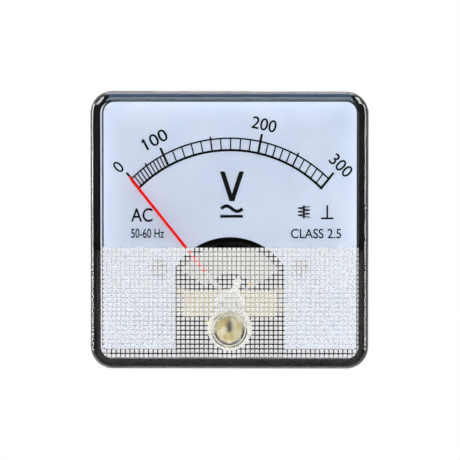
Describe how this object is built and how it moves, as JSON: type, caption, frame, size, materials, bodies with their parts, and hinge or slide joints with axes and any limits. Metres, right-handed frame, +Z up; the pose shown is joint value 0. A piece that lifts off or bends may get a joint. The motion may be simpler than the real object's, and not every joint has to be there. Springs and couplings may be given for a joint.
{
  "type": "panel voltmeter",
  "caption": "Square panel voltmeter with a moving-iron movement, clear cover with a checkered lower window, red pointer, zero screw, round barrel, mounting studs and screw terminals.",
  "frame": {"origin": "on the barrel's axis at the plane where the flange meets the panel", "axes": "+Y along the barrel away from the face, +X to the viewer's right, +Z up; the face looks along -Y"},
  "size_m": [0.06, 0.063, 0.06],
  "materials": {
    "clear_plastic": "clear, polished",
    "ivory_plastic": "translucent, satin",
    "case_black": "black moulding, fine satin",
    "steel": "zinc plated",
    "dial_paint": "pale matt paint",
    "scale_ink": "black ink",
    "bobbin_plastic": "natural moulding",
    "copper": "enamelled copper wire",
    "soft_iron": "soft iron sheet",
    "aluminium": "rolled sheet",
    "brass": "rolled brass",
    "jewel": "polished synthetic stone",
    "pointer_red": "red paint on aluminium",
    "spring_bronze": "rolled bronze strip",
    "white_nylon": "natural moulding",
    "resistor_coat": "lacquer",
    "tinned_copper": "tinned wire",
    "wire_sleeve": "extruded sleeve"
  },
  "bodies": {
    "case": {"front_cover": "clear_plastic", "rear_case": "case_black", "mounting_studs": "steel", "dial_plate": "dial_paint", "scale_print": "scale_ink", "dial_screws": "steel", "movement_frame": "case_black", "frame_screws": "steel", "coil_bobbin": "bobbin_plastic", "coil_winding": "copper", "fixed_vane": "soft_iron", "damper_lid": "aluminium", "bridge": "brass", "bridge_screws": "steel", "front_jewel_screw": "brass", "rear_jewel_screw": "brass", "jewel_lock_nuts": "brass", "pivot_jewels": "jewel", "series_resistor": "resistor_coat", "resistor_leads": "tinned_copper", "lead_wires": "wire_sleeve", "solder_tags": "tinned_copper", "terminal_bolts": "brass", "terminal_clamp_nuts": "brass", "terminal_washers": "brass", "terminal_spring_washers": "steel", "terminal_nuts": "brass"},
    "zero_screw": {"zero_screw": "ivory_plastic"},
    "zero_lever": {"zero_lever": "white_nylon", "hairspring": "spring_bronze"},
    "pointer": {"spindle": "steel", "moving_vane": "soft_iron", "damping_vane": "aluminium", "pointer": "pointer_red", "balance_weights": "brass", "spring_collet": "brass"}
  },
  "joints": [
    {"name": "zero_screw_turn", "type": "hinge", "parent": "case", "child": "zero_screw", "pos_m": [0, -0.0152, -0.0214], "axis": [0, 1, 0], "range_deg": [-60, 60]},
    {"name": "zero_lever_swing", "type": "hinge", "parent": "case", "child": "zero_lever", "pos_m": [0, -0.0105, -0.0161], "axis": [0, 1, 0], "range_deg": [-8.4, 8.4]},
    {"name": "pointer_swing", "type": "hinge", "parent": "zero_lever", "child": "pointer", "pos_m": [0, -0.0071, -0.0161], "axis": [0, 1, 0], "range_deg": [-1.5, 79], "stiffness_Nm_per_rad": 0.00002}
  ],
  "couplings": [
    {"joint": "zero_lever_swing", "follows": "zero_screw_turn", "ratio": -0.14}
  ]
}
